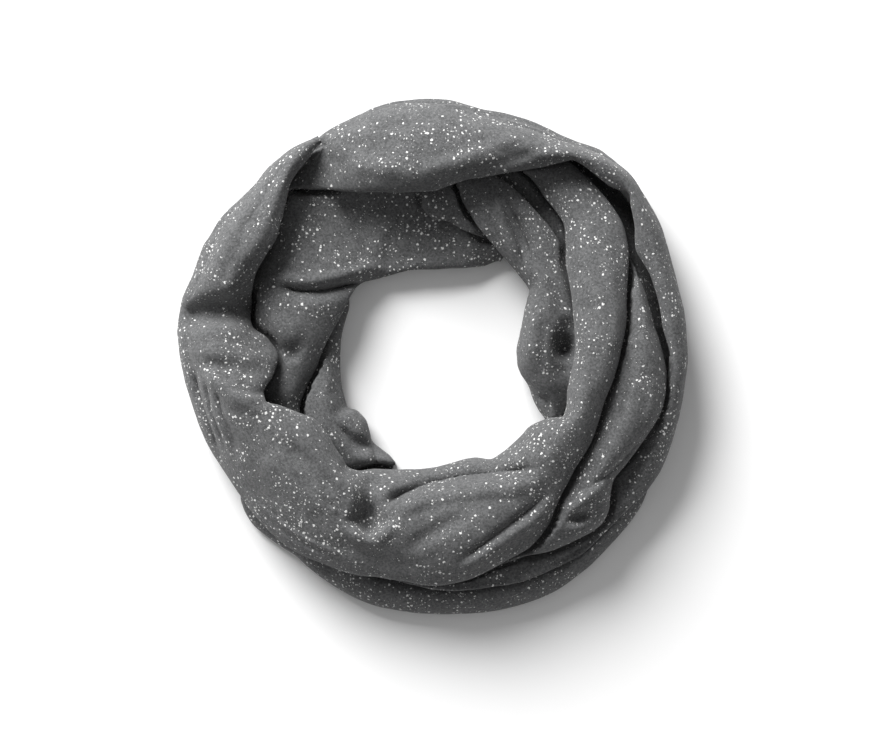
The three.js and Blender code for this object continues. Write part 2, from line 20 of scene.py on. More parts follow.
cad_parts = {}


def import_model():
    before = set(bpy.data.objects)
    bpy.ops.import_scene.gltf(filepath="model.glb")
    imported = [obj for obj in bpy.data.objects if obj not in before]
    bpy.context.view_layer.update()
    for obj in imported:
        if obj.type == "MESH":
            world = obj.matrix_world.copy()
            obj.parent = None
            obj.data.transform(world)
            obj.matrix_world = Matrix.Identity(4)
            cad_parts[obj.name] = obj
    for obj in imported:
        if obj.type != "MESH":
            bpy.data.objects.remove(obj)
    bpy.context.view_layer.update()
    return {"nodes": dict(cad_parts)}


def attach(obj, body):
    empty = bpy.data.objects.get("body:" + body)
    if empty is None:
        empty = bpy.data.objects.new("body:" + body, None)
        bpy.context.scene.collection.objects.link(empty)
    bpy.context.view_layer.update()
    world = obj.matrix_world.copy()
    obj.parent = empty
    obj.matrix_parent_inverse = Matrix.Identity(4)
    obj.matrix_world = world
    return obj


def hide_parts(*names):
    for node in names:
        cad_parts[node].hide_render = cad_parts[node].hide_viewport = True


LOG = logging.getLogger("infinity_scarf")
MM = 0.001

WALL = 1.7  # two plies of jersey, pressed together
LAYER_PITCH = 4.6  # from the middle of one wall down to the middle of the next
REACH = 4  # how far sideways a stretch looks for the one over it
REACH_ANGLE = 2  # the same, round the ring
FACE_SIZE = 1.7  # the sides of a shell's faces
SIDE_RADIUS = 166.0  # where the outer walls are unrolled
TIP_SHARE = 0.25  # what is left of a fold's rise at its two tips
HEM_FLANK = 2.6  # half the width of a hem line
HEM_RISE = 2.3
SEAM_FLANK = 2.6  # half the width of the joining seam
SEAM_RISE = -1.2

Station = tuple[float, float]
Point = tuple[float, float]
Rail = tuple["RingCurve", "RingCurve"]
Cover = tuple[str, float, float]  # the stretch on top, and from and to which angle


# ---- Curves round the ring --------------------------------------------------------------


class RingCurve:
    """A value that changes smoothly with the angle round the ring."""

    def __init__(self, value: Callable[[np.ndarray], np.ndarray]) -> None:
        """Args:
            value: gives the curve's value for an array of angles in degrees.
        """
        self.value = value

    @classmethod
    def through(cls, *stations: Station) -> "RingCurve":
        """Joins stations smoothly and without overshoot.

        Args:
            stations: (angle, value) pairs in the order of their angles.

        Returns:
            The curve, which keeps its end values outside the stations.
        """
        angles, values = np.array(stations, dtype=float).T
        widths = np.diff(angles)
        slopes = np.diff(values) / widths
        before, after = slopes[:-1], slopes[1:]
        same_way = before * after > 0
        total = np.where(same_way, before + after, 1.0)
        inner = np.where(same_way, 2 * before * after / total, 0.0)
        tangents = np.concatenate([[0.0], inner, [0.0]])

        def value(angle: np.ndarray) -> np.ndarray:
            """The smooth value between the two stations beside each angle.

            Args:
                angle: angles in degrees.

            Returns:
                The value at each.
            """
            held = np.clip(angle, angles[0], angles[-1])
            i = np.clip(np.searchsorted(angles, held, side="right") - 1, 0, len(widths) - 1)
            t = (held - angles[i]) / widths[i]
            rise = values[i + 1] - values[i]
            ends = t * t * (3 - 2 * t) * rise
            lean = t * (1 - t) * widths[i] * ((1 - t) * tangents[i] - t * tangents[i + 1])
            return values[i] + ends + lean

        return cls(value)

    def __call__(self, angle: np.ndarray) -> np.ndarray:
        """The value at each angle."""
        return self.value(angle)

    def __add__(self, other: "RingCurve | float") -> "RingCurve":
        """The sum of two curves, or a curve moved by a number."""
        more = as_curve(other)
        return RingCurve(lambda angle: self(angle) + more(angle))

    def __sub__(self, other: "RingCurve | float") -> "RingCurve":
        """The difference of two curves, or a curve moved down by a number."""
        return self + (other * -1)

    def __mul__(self, factor: float) -> "RingCurve":
        """The curve times a number."""
        return RingCurve(lambda angle: self(angle) * factor)

    def toward(self, other: "RingCurve", part: "float | RingCurve") -> "RingCurve":
        """A curve part of the way from this one to another."""
        share = as_curve(part)
        return RingCurve(lambda a: self(a) + (other(a) - self(a)) * share(a))


def steady(value: float) -> RingCurve:
    """A curve of one value all round."""
    return RingCurve(lambda angle: np.full(np.shape(angle), float(value)))


def as_curve(value: RingCurve | float) -> RingCurve:
    """The curve itself, or a number as a steady curve."""
    return value if isinstance(value, RingCurve) else steady(value)


through = RingCurve.through


def ring_line(*stations: Station) -> RingCurve:
    """A dataclass field that holds the curve through these stations."""
    return field(default_factory=lambda: through(*stations))


# ---- Folds ------------------------------------------------------------------------------


class FoldShape(Enum):
    """How the cloth bends across a fold."""

    SOFT = "soft"  # a rounded roll or hollow
    CREASE = "crease"  # a sharp line with soft flanks


@dataclass(frozen=True)
class Fold:
    """A ridge or a trough along a path on the cloth."""

    path: tuple[Point, ...]
    left: float
    right: float
    rise: float
    shape: FoldShape = FoldShape.SOFT
    fade: float = 12.0

    def height(self, x: np.ndarray, y: np.ndarray) -> np.ndarray:
        """What the fold adds to the height.

        Args:
            x: places across, in millimetres.
            y: places along, in millimetres.

        Returns:
            The rise at each place.
        """
        nearest = np.full(x.shape, np.inf)
        side = np.ones(x.shape)
        run = np.zeros(x.shape)
        length = 0.0
        for (ax, ay), (bx, by) in zip(self.path, self.path[1:]):
            dx, dy = bx - ax, by - ay
            step = math.hypot(dx, dy)
            t = np.clip(((x - ax) * dx + (y - ay) * dy) / step**2, 0, 1)
            distance = np.hypot(x - ax - t * dx, y - ay - t * dy)
            closer = distance < nearest
            nearest = np.where(closer, distance, nearest)
            side = np.where(closer, np.sign(dx * (y - ay) - dy * (x - ax)), side)
            run = np.where(closer, length + t * step, run)
            length += step
        flank = np.where(side > 0, self.left, self.right)
        t = np.clip(nearest / flank, 0, 1)
        if self.shape is FoldShape.SOFT:
            across = 0.5 * (1 + np.cos(np.pi * t))
        else:
            across = (1 - t) ** 2
        fade = min(self.fade, length / 2)
        ends = np.clip(np.minimum(run, length - run) / fade, 0, 1)
        ends = TIP_SHARE + (1 - TIP_SHARE) * ends * ends * (3 - 2 * ends)
        return self.rise * across * ends


def soft(path: tuple[Point, ...], left: float, right: float, rise: float) -> Fold:
    """A rounded roll or hollow."""
    return Fold(path, left, right, rise)


def crease(path: tuple[Point, ...], left: float, right: float, rise: float) -> Fold:
    """A sharp line with soft flanks."""
    return Fold(path, left, right, rise, FoldShape.CREASE)


def side(path: tuple[Point, ...], flank: float, rise: float) -> Fold:
    """A soft fold on an outer wall, along points of degrees round the ring and height."""
    unrolled = tuple((math.radians(angle) * SIDE_RADIUS, height) for angle, height in path)
    return soft(unrolled, flank, flank, rise)


# ---- A stretch of cloth -----------------------------------------------------------------


@dataclass
class Stretch:
    """One stretch of the scarf's cloth that shows, as a shell along rails round the ring."""

    name: ClassVar[str] = ""
    start: ClassVar[float] = 0.0
    end: ClassVar[float] = 0.0
    lies_under: ClassVar[tuple[Cover, ...]] = ()
    rests_on: ClassVar[tuple[str, ...]] = ("hidden_layers",)
    flat: ClassVar[tuple[float, float]] = (100.0, 300.0)  # width and length laid flat
    spans: ClassVar[int] = 14  # steps of a section between two rails, before spacing

    def rails(self) -> list[Rail]:
        """The rails from the inner edge to the outer edge.

        Returns:
            The radius and the height of each rail.
        """
        raise NotImplementedError

    def folds(self) -> list[Fold]:
        """The folds and creases of this stretch, seen from above."""
        return []

    def side_folds(self) -> list[Fold]:
        """The folds of the outer wall; none unless the stretch has them."""
        return []

    def edge(self, radius: RingCurve, height: RingCurve, curl: RingCurve, drop: RingCurve,
             footing: RingCurve) -> list[Rail]:
        """An edge that goes from a roll, turned under, to a foot on the floor.

        Args:
            radius: the edge's silhouette.
            height: its height there.
            curl: how far the cloth turns back under it.
            drop: how far the turned-back cloth lies below it.
            footing: 0 where it is rolled and 1 where it stands on the floor.

        Returns:
            The rail of the turned-back cloth and the rail of the silhouette.
        """
        tuck = (height - drop).toward(steady(WALL / 2), footing)
        return [(radius + curl, tuck), (radius, height)]

    def section(self, angles: np.ndarray, steps: int) -> tuple[np.ndarray, np.ndarray]:
        """Evenly spaced points of the wall's middle at each angle, with its folds.

        Args:
            angles: where the sections are, in degrees.
            steps: steps along each section.

        Returns:
            Radius and height, one row for each angle.
        """
        rails = np.array([[radius(angles), height(angles)] for radius, height in self.rails()])
        points = rails.transpose(2, 0, 1)
        padded = np.concatenate([points[:, :1], points, points[:, -1:]], axis=1)
        t = np.linspace(0, 1, self.spans, endpoint=False)[None, :, None]
        pieces = []
        for i in range(points.shape[1] - 1):
            p0, p1, p2, p3 = (padded[:, i + k, None, :] for k in range(4))
            v0, v1 = (p2 - p0) / 2, (p3 - p1) / 2
            cubic = (2 * p1 - 2 * p2 + v0 + v1) * t**3
            square = (-3 * p1 + 3 * p2 - 2 * v0 - v1) * t**2
            pieces.append(cubic + square + v0 * t + p1)
        curve = np.concatenate([*pieces, points[:, -1:]], axis=1)
        lengths = np.cumsum(np.hypot(*np.diff(curve, axis=1).transpose(2, 0, 1)), axis=1)
        lengths = np.concatenate([np.zeros((len(angles), 1)), lengths], axis=1)
        parts = np.linspace(0, 1, steps + 1)
        spaced = np.array([
            [np.interp(parts * run[-1], run, row[:, k]) for k in (0, 1)]
            for run, row in zip(lengths, curve)
        ])
        radius, height = spaced[:, 0], spaced[:, 1]
        turn = np.radians(angles)[:, None]
        x, y = radius * np.cos(turn), radius * np.sin(turn)
        lift = sum((fold.height(x, y) for fold in self.folds()), np.zeros(x.shape))
        low = np.minimum(height, WALL / 2)
        return radius, np.maximum(height + lift, low)


# ---- The stretches that show, from the outside in ------------------------------------------
#
# Each lists what lies over it, so that it can be pressed down there.


@dataclass
class OuterTurn(Stretch):
    """The broad band over the back of the ring and down its right side."""

    name = "outer_turn"
    start = -104
    end = 131
    lies_under = (
        ("upper_turn", 116, 136), ("upper_turn", -108, -50), ("second_ridge", -88, 4))
    flat = (75.0, 675.0)

    lip: RingCurve = ring_line(
        (-104, 136), (-60, 138), (-45, 140), (-35, 141), (-26, 145), (-20, 151), (-15, 155),
        (-10, 157.5), (0, 158), (8, 155), (20, 155), (27, 153), (33, 160.7), (37.5, 166),
        (40, 170), (42, 166.5), (45, 163.5), (54, 161.8), (57, 154.5), (60, 146.7),
        (65, 137), (75, 124), (80, 119.4), (85, 114.4), (90, 110.5), (100, 111.6),
        (110, 117), (118, 126), (125, 138), (131, 148))
    lip_height: RingCurve = ring_line(
        (-104, 25), (-60, 27), (-45, 28), (-30, 29), (-20, 32), (-10, 40), (0, 44),
        (30, 47), (54, 49), (70, 53), (90, 55), (105, 54), (114, 46), (119, 37), (131, 25))
    crest: RingCurve = ring_line(
        (-104, 143), (-90, 145), (-60, 153), (-45, 156), (-30, 159), (-15, 161), (0, 163),
        (20, 162), (35, 168), (43, 172), (50, 168), (57, 160), (65, 147), (75, 135),
        (90, 127), (100, 127), (110, 131), (118, 140), (125, 147), (131, 150))
    crest_height: RingCurve = ring_line(
        (-104, 30), (-75, 32), (-60, 33), (-45, 34), (-30, 37), (-15, 43), (0, 48),
        (30, 52), (50, 56), (60, 60), (75, 64), (95, 66), (104, 63), (112, 54), (117, 42),
        (122, 31), (131, 22))
    outer_edge: RingCurve = ring_line(
        (-104, 149), (-97.6, 151.3), (-90, 154), (-82.6, 156.3), (-75, 157.7), (-68, 160.6),
        (-60, 162), (-52, 164), (-44, 162.8), (-38, 164), (-32, 167.8), (-26, 169.2),
        (-15, 168.6), (0, 169.5), (15, 170), (30, 175), (37, 177.5), (43, 179.3), (50, 176),
        (57, 170), (62, 168.3), (78, 168.6), (90, 172), (100, 172), (110, 168), (116, 165.8),
        (119, 163.5), (122, 158), (126, 154), (131, 151.5))
    outer_height: RingCurve = ring_line(
        (-104, 30), (-60, 32), (-36, 30), (-28, 24), (-20, 22), (60, 24), (110, 24),
        (131, 14))

    def rails(self) -> list[Rail]:
        """From the lip over the crest to the outer wall's foot."""
        curl = through((-30, -5), (-20, 9), (26, 8), (37, 3), (44, 4), (58, 9))
        drop = through((-30, 3), (-10, 15))
        footing = through((-34, 0), (-25, 1))
        foot = self.edge(self.outer_edge, self.outer_height, through((-34, -7), (-25, -3)),
                         steady(7), footing)
        return [
            *self.edge(self.lip, self.lip_height, curl, drop, steady(0)),
            (self.crest, self.crest_height),
            (self.crest.toward(self.outer_edge, 0.66),
             self.outer_height.toward(self.crest_height, 0.72)),
            *reversed(foot),
        ]

    def folds(self) -> list[Fold]:
        """Soft unevenness of the band, with a roll towards its right end."""
        return [
            soft(((-72, 128), (-50, 138), (-25, 141)), 14, 16, -3),
            soft(((20, 152), (60, 141), (95, 128)), 12, 10, 2.5),
            soft(((-12, 120), (22, 131), (60, 147)), 8, 9, 2.6),
            soft(((8, 113), (38, 125), (72, 137)), 6, 6, -2.6),
            soft(((-62, 157), (-35, 152), (0, 155)), 9, 8, -2.2),
            soft(((-70, 143), (-46, 127), (-20, 122)), 10, 9, 2.4),
            soft(((88, 126), (98, 122), (112, 121)), 6, 7, 2.2),
            crease(((118, 118), (126, 112), (131, 105)), 5, 5, -2.4),
            soft(((148, 60), (158, 20), (160, -20)), 5, 6, 1.6),
            soft(((126, -100), (104, -123), (78, -142)), 5, 5, -2.0),
        ]

    def side_folds(self) -> list[Fold]:
        """Slanting troughs and one ridge on the outer wall of the back and right."""
        return [
            side(((122, 8), (102, 24), (84, 31)), 6, -4),
            side(((98, 4), (80, 13), (60, 17)), 5, -3),
            side(((90, 42), (70, 30), (48, 24)), 6, 2.5),
            side(((74, 44), (52, 35), (34, 38)), 5, -3.5),
            side(((58, 8), (40, 14), (20, 9)), 5, -3),
            side(((30, 30), (8, 22), (-12, 25)), 5, -3),
            side(((10, 7), (-8, 12), (-30, 9)), 4, -2.5),
        ]


@dataclass
class UnderTurn(Stretch):
    """The lowest band, which shows along the front of the ring."""

    name = "under_turn"
    start = -146
    end = -22
    lies_under = (("upper_turn", -152, -60), ("outer_turn", -112, -20))
    flat = (50.0, 365.0)

    outer_edge: RingCurve = ring_line(
        (-146, 156.5), (-143, 161), (-140, 163.4), (-136, 164.8), (-128, 162.8), (-125, 162),
        (-121, 163.4), (-115, 166), (-105, 170.6), (-90, 172.2), (-75, 175.4), (-65, 177),
        (-50, 174), (-35, 171), (-31, 168.5), (-27, 163), (-22, 158))

    def rails(self) -> list[Rail]:
        """From its hidden inner edge to its foot."""
        edge = self.outer_edge
        return [
            (steady(138), steady(12)),
            (steady(146), through((-150, 8), (-128, 17), (-105, 22), (-60, 22), (-22, 10))),
            (edge - 13, through((-150, 9), (-128, 19), (-105, 25), (-60, 25), (-35, 21),
                                (-22, 8))),
            (edge - 3.5, through((-150, 7), (-128, 15), (-105, 18), (-60, 18), (-35, 15),
                                 (-22, 5))),
            (edge, through((-150, 4), (-128, 8), (-105, 9), (-45, 9), (-22, 3))),
            (edge - 2, steady(0)),
        ]


@dataclass
class UpperTurn(Stretch):
    """The turn on top: down the left side, across the front and up the right side."""

    name = "upper_turn"
    start = 117.5
    end = 424
    lies_under = (("outer_turn", 386, 428),)
    flat = (110.0, 745.0)

    lip: RingCurve = ring_line(
        (117.5, 161.6), (122, 157), (129, 150.4), (133.6, 142), (138.4, 135.6),
        (144.4, 130.4), (150, 129.8), (155, 131), (160, 130), (164, 127.5),
        (168, 126), (171, 122.5), (174, 112), (180, 104.2), (186.4, 107.7),
        (192, 115.5), (195, 115.5), (198, 106.5), (202.6, 97.5), (208.3, 88.6),
        (215.9, 87), (227.7, 90.6), (232.4, 93.4), (236.8, 91.4), (243.3, 84.5),
        (255.4, 79.3), (270, 75), (286, 72.3), (292, 73.5), (301, 79.8), (322, 79.8),
        (331, 86.8), (335.6, 96), (340, 95), (347, 92.4), (360, 94), (372, 96.6),
        (383, 100.8), (394, 108), (401, 118.3), (406.3, 125.9), (413.7, 130), (424, 138))
    lip_height: RingCurve = ring_line(
        (117.5, 37), (121, 40), (128, 47), (135, 50), (148, 50), (157, 39), (168, 34), (176, 32),
        (184, 38), (192, 46), (200, 50), (215, 50), (230, 46), (240, 36), (255, 26),
        (285, 24), (310, 26), (322, 32), (333, 46), (345, 52), (365, 52), (385, 46),
        (400, 38), (424, 30))
    crest: RingCurve = ring_line(
        (117.5, 163.4), (125, 160), (135, 149), (145, 142), (155, 144), (165, 144),
        (175, 140), (185, 136), (195, 131), (203, 120), (212, 110), (225, 107), (240, 109),
        (255, 113), (270, 116), (285, 112), (300, 105), (315, 99), (328, 99), (340, 104),
        (360, 108), (375, 113), (390, 122), (400, 133), (410, 142), (424, 148))
    crest_height: RingCurve = ring_line(
        (117.5, 40), (121, 47), (125, 53), (135, 58), (148, 60), (160, 56), (170, 48), (180, 48),
        (190, 56), (200, 61), (215, 63), (240, 64), (270, 62), (290, 63), (310, 67),
        (330, 71), (350, 73), (365, 71), (380, 64), (395, 54), (408, 44), (424, 36))
    outer_edge: RingCurve = ring_line(
        (117.5, 165), (124, 167), (130, 167.5), (136, 165.5), (150, 169), (160, 168),
        (170, 171), (180, 168.5), (190, 164), (200, 161), (208, 158.6), (216, 157.4),
        (224, 158.6), (231, 158.4), (237, 157), (243.2, 154.6), (249, 153.4),
        (257, 150.2), (262, 149.8), (270, 151), (279.7, 148.6), (286, 145.1),
        (291.4, 142.3), (297, 141), (303.8, 134.8), (310, 126.4), (315.3, 122.3),
        (324, 118.4), (334, 117.4), (345, 116.4), (352.8, 119), (361, 123), (369, 128.6),
        (377.4, 134), (384, 141), (388.5, 146.8), (396.6, 154.4), (403.7, 156.3),
        (410, 157), (424, 160))
    outer_height: RingCurve = ring_line(
        (117.5, 38), (121, 36), (130, 24), (150, 26), (180, 24), (202, 24), (214, 28),
        (232, 33), (245, 40), (270, 43),
        (290, 44), (303, 48), (315, 54), (330, 57), (355, 57), (372, 52), (385, 46),
        (400, 38), (424, 29))

    def rails(self) -> list[Rail]:
        """From the inner lip over the crest to the outer edge."""
        curl = through((117.5, 1), (130, 6), (140, 10), (231, 8), (246, 3), (318, 3),
                       (330, 7))
        lip_drop = through(
            (117.5, 5), (128, 15), (150, 15), (158, 8), (174, 8), (182, 15))
        lip_footing = through((231, 0), (246, 1), (318, 1), (330, 0))
        drop = through(
            (117.5, 5), (122, 9), (208, 22), (222, 9), (290, 9), (315, 15), (360, 16),
            (424, 9))
        outer = self.edge(self.outer_edge, self.outer_height,
                          through((203, -3), (216, -9)), drop,
                          through((120, 0), (128, 1), (202, 1), (213, 0)))
        return [
            *self.edge(self.lip, self.lip_height, curl, lip_drop, lip_footing),
            (self.lip.toward(self.crest, 0.35),
             self.lip_height.toward(self.crest_height, 0.72)),
            (self.crest, self.crest_height),
            (self.crest.toward(self.outer_edge, 0.62),
             self.outer_height.toward(self.crest_height, 0.68)),
            *reversed(outer),
        ]

    def folds(self) -> list[Fold]:
        """The valley of the left side, its creases, and the hollows of the front."""
        return [
            soft(((-170, 26), (-150, 30), (-132, 33), (-116, 40)), 15, 17, -18),
            soft(((-122, 56), (-124, 40), (-122, 26), (-116, 8)), 10, 12, -6),
            soft(((-162, -6), (-157, -20), (-151, -36)), 5, 6, -4),
            soft(((-42, -74), (-42, -94), (-42, -116)), 12, 12, -9),
            soft(((-60, -104), (-43, -115), (-26, -104)), 25, 7, -12),
            soft(((-33, -98), (-10, -86), (20, -79), (70, -73)), 8, 9, -6),
            soft(((-152, -6), (-143, -16), (-130, -26), (-105, -33)), 8, 11, 6),
            crease(((-142, -12), (-132, -20), (-120, -25), (-107, -28)), 6, 4, -4),
            soft(((-160, 4), (-138, 2), (-112, -4)), 10, 9, 4),
            crease(((-158, -8), (-156, -22), (-150, -40), (-141, -66)), 4, 6, -7),
            crease(((-151, -14), (-147, -34), (-137, -62)), 3.5, 5, -6),
            crease(((-143, -20), (-139, -38), (-127, -66)), 4, 6, -5),
            soft(((-56, -106), (-48, -119), (-38, -121), (-27, -112)), 8, 8, 4.5),
            crease(((-31, -97), (-20, -91), (0, -83.5), (20, -79.5), (68, -74)), 5, 3.5, -5),
            soft(((-24, -100), (0, -92), (30, -88), (66, -84)), 7, 9, 3.5),
            crease(((74, -92), (58, -105), (45, -115), (30, -126), (18, -135)), 8, 5, -5),
            soft(((84, -90), (66, -109), (46, -122), (18, -142)), 7, 9, 3.5),
            soft(((-112, -62), (-92, -84), (-70, -104)), 13, 12, 3),
            soft(((-98, -56), (-78, -72), (-62, -92)), 8, 9, -3),
            soft(((-20, -128), (0, -116), (24, -104)), 9, 9, -3),
            soft(((-66, -120), (-38, -134), (-6, -140)), 9, 9, -2.5),
            soft(((100, 40), (108, 5), (104, -40)), 8, 7, -2),
            soft(((116, 64), (122, 30), (118, 0)), 6, 7, 2),
            crease(((-96, 132), (-112, 104), (-130, 78)), 6, 8, -2),
            soft(((-118, 104), (-136, 76), (-150, 48)), 10, 9, 3),
            *self.hem_lines(),
        ]

    def side_folds(self) -> list[Fold]:
        """Slanting troughs and one ridge on the outer wall of the left side."""
        return [
            side(((124, 8), (138, 20), (152, 27)), 6, -4),
            side(((134, 5), (156, 12), (174, 9)), 5, -3),
            side(((140, 34), (160, 24), (180, 18)), 6, 1.2),
            side(((150, 42), (166, 33), (184, 36)), 5, -2.5),
            side(((176, 20), (190, 11), (204, 14)), 5, -3),
        ]

    def hem_lines(self) -> list[Fold]:
        """The two fine ridges of the turned hem along the lower left edge."""
        outer = ((-135, -82), (-124, -99), (-106, -114), (-84, -127), (-62, -137))
        inner = ((-129, -80), (-118, -96), (-101, -110), (-81, -122), (-58, -132))
        return [crease(line, HEM_FLANK, HEM_FLANK, HEM_RISE) for line in (outer, inner)]


@dataclass
class SecondRidge(Stretch):
    """The fold beside the top ridge, on the right of the ring."""

    name = "second_ridge"
    start = -84
    end = 32
    lies_under = (("upper_turn", -90, 38), ("outer_turn", 8, 38))
    flat = (65.0, 295.0)

    outer_edge: RingCurve = ring_line(
        (-84, 148), (-73, 144.8), (-66, 145), (-60, 149.2), (-52, 153.8), (-45, 157.6),
        (-41.6, 155), (-38, 148.8), (-34, 144.4), (-28, 146.4), (-19, 151.5), (-11, 155.6),
        (-4, 154.6), (3, 150.2), (10, 147.2), (24, 146), (32, 148))
    outer_height: RingCurve = ring_line(
        (-84, 37), (-66, 38), (-45, 38), (-30, 42), (-10, 44), (10, 43), (24, 38),
        (32, 33))
    crest: RingCurve = ring_line(
        (-84, 136), (-66, 135), (-52, 139), (-42, 138), (-30, 133), (-15, 135), (0, 138),
        (15, 141), (32, 142))
    crest_height: RingCurve = ring_line(
        (-84, 36), (-72, 44), (-60, 52), (-45, 57), (-30, 60), (0, 61), (15, 55), (24, 47),
        (32, 37))
    inner_edge: RingCurve = ring_line(
        (-84, 124), (-60, 122), (-45, 114), (-30, 108), (-10, 107), (0, 110), (15, 122),
        (32, 130))

    def rails(self) -> list[Rail]:
        """From the edge hidden under the top ridge to the rolled outer edge."""
        outer = self.edge(self.outer_edge, self.outer_height, steady(-7), steady(9),
                          steady(0))
        return [
            (self.inner_edge, through((-84, 26), (-45, 34), (0, 36), (32, 26))),
            (self.inner_edge.toward(self.crest, 0.55),
             steady(34).toward(self.crest_height, 0.72)),
            (self.crest, self.crest_height),
            (self.crest.toward(self.outer_edge, 0.66),
             self.outer_height.toward(self.crest_height, 0.7)),
            *reversed(outer),
        ]

    def folds(self) -> list[Fold]:
        """The pocket between the ridge and its lobe."""
        return [
            soft(((84, -106), (96, -107), (108, -103)), 9, 7, -9),
            crease(((138, -54), (127, -66), (114, -79), (100, -90)), 5, 5, -4),
            soft(((112, -84), (98, -95), (82, -113)), 5, 5, 3.5),
            soft(((144, -10), (146, -30), (140, -50)), 6, 6, 2),
            crease(((128, 10), (130, -20), (122, -48)), 4, 5, -2.5),
        ]


@dataclass
class InnerTurn(Stretch):
    """The shaded wall inside the back of the ring and its roll down the left."""

    name = "inner_turn"
    start = 55
    end = 203
    lies_under = (
        ("outer_turn", 55, 131), ("upper_turn", 119.5, 203), ("fan_fold", 46, 82),
        ("tucked_fold", 50, 99), ("shaded_fold", 34, 79))
    flat = (85.0, 295.0)

    inner_edge: RingCurve = ring_line(
        (55, 80), (62, 71), (72, 64.2), (90, 60), (109, 61.4), (119, 63.5), (128, 67.6),
        (135, 70.5), (152, 68.2), (162, 69.6), (172, 72.7), (181, 77), (186, 80.4),
        (193, 88.3), (203, 97.5))
    inner_height: RingCurve = ring_line(
        (55, 8), (72, 15), (100, 17), (118, 16), (132, 21), (142, 27), (165, 28),
        (180, 26), (203, 18))
    crest: RingCurve = ring_line(
        (55, 100), (70, 92), (100, 90), (125, 93), (150, 97), (165, 97), (178, 92),
        (190, 98), (203, 104))
    crest_height: RingCurve = ring_line(
        (55, 18), (75, 21), (100, 21), (120, 20), (138, 33), (155, 40), (168, 40),
        (180, 33), (192, 30), (203, 22))
    outer_edge: RingCurve = ring_line(
        (55, 106), (73, 112), (84, 122), (100, 123), (110, 128), (118, 136), (125, 143),
        (135, 142), (144, 134), (150, 133), (160, 131), (166, 127), (171, 123),
        (176, 115), (181, 112), (187, 115), (193, 118), (203, 113))
    outer_height: RingCurve = ring_line(
        (55, 24), (80, 28), (110, 30), (128, 27), (140, 22), (155, 15), (172, 14),
        (185, 16), (203, 14))

    def rails(self) -> list[Rail]:
        """From the foot beside the opening, or the lip over it, to the hidden edge."""
        footing = through((124, 1), (136, 0))
        return [
            *self.edge(self.inner_edge, self.inner_height, through((124, 2), (138, 7)),
                       steady(8), footing),
            (self.inner_edge.toward(self.crest, 0.38),
             self.inner_height.toward(self.crest_height, through((105, 0.45), (135, 0.74)))),
            (self.crest, self.crest_height),
            (self.crest.toward(self.outer_edge, 0.7),
             self.crest_height.toward(self.outer_height, through((115, 0.75), (135, 0.45)))),
            (self.outer_edge, self.outer_height),
            (self.outer_edge - 1, through((120, 22), (140, 14), (155, 7), (203, 6))),
        ]

    def folds(self) -> list[Fold]:
        """The deep pinch between the wall and the roll under it, and the joining seam."""
        return [
            soft(((-104, 47), (-80, 43), (-58, 48), (-32, 56)), 7, 9, -5),
            crease(((-103, 47.5), (-88, 44), (-72, 44.5), (-52, 49.5), (-33, 56)), 3.5, 4, -9),
            soft(((-106, 54), (-88, 51), (-66, 53), (-40, 61)), 6, 7, 3),
            crease(((-76, 4), (-80, -8), (-86, -20), (-89, -36)), 4, 5, -5),
            soft(((-104, 10), (-94, 2), (-86, 14)), 8, 8, -5),
            soft(((-108, 30), (-101, 16), (-96, -6)), 7, 6, 2.5),
            soft(((-64, 108), (-54, 96), (-42, 82)), 14, 9, -6),
            soft(((-40, 64), (-34, 84), (-28, 104)), 9, 8, 2.2),
            crease(((-16, 110), (-15, 90), (-15, 64)), SEAM_FLANK, SEAM_FLANK, SEAM_RISE),
        ]


@dataclass
class LowerInnerTurn(Stretch):
    """The lowest roll beside the opening, on the left and front."""

    name = "lower_inner_turn"
    start = 137
    end = 250
    lies_under = (("inner_turn", 126, 208), ("upper_turn", 150, 258))
    flat = (60.0, 210.0)

    inner_edge: RingCurve = ring_line(
        (137, 75), (143, 71.5), (152, 65.3), (166, 63.8), (180, 63), (193, 64.3),
        (205, 66.2), (210, 67.2), (216, 63), (222, 62.4), (228, 65.3), (235, 70.8),
        (245, 72.6), (252, 77), (258, 79.5))

    def rails(self) -> list[Rail]:
        """From its foot beside the opening to its hidden edge."""
        edge = self.inner_edge
        reach = through((230, 1), (236, 0.74), (240, 0.54), (246, 0.31), (250, 0.19))
        return [
            (edge + reach * 2, steady(0)),
            (edge, through((137, 7), (180, 13), (225, 14), (258, 7))),
            (edge + reach * 4, through((137, 10), (180, 19), (225, 23), (258, 11))),
            (edge + reach * 13, through((137, 12), (180, 23), (215, 29), (235, 28), (258, 12))),
            (edge + reach * 26, through((137, 12), (180, 20), (215, 28), (258, 12))),
            (edge + reach * 36, through((137, 10), (215, 20), (258, 8))),
        ]

    def folds(self) -> list[Fold]:
        """The hollow between its two small rolls."""
        return [
            soft(((-58, -52), (-50, -58), (-41, -66)), 7, 7, -8),
            crease(((-41, -61), (-38, -70), (-32, -76)), 4, 4, -6),
            crease(((-66, -44), (-56, -52), (-52, -62)), 4, 5, -4),
            soft(((-70, -6), (-72, -24), (-66, -42)), 6, 6, 2.5),
        ]


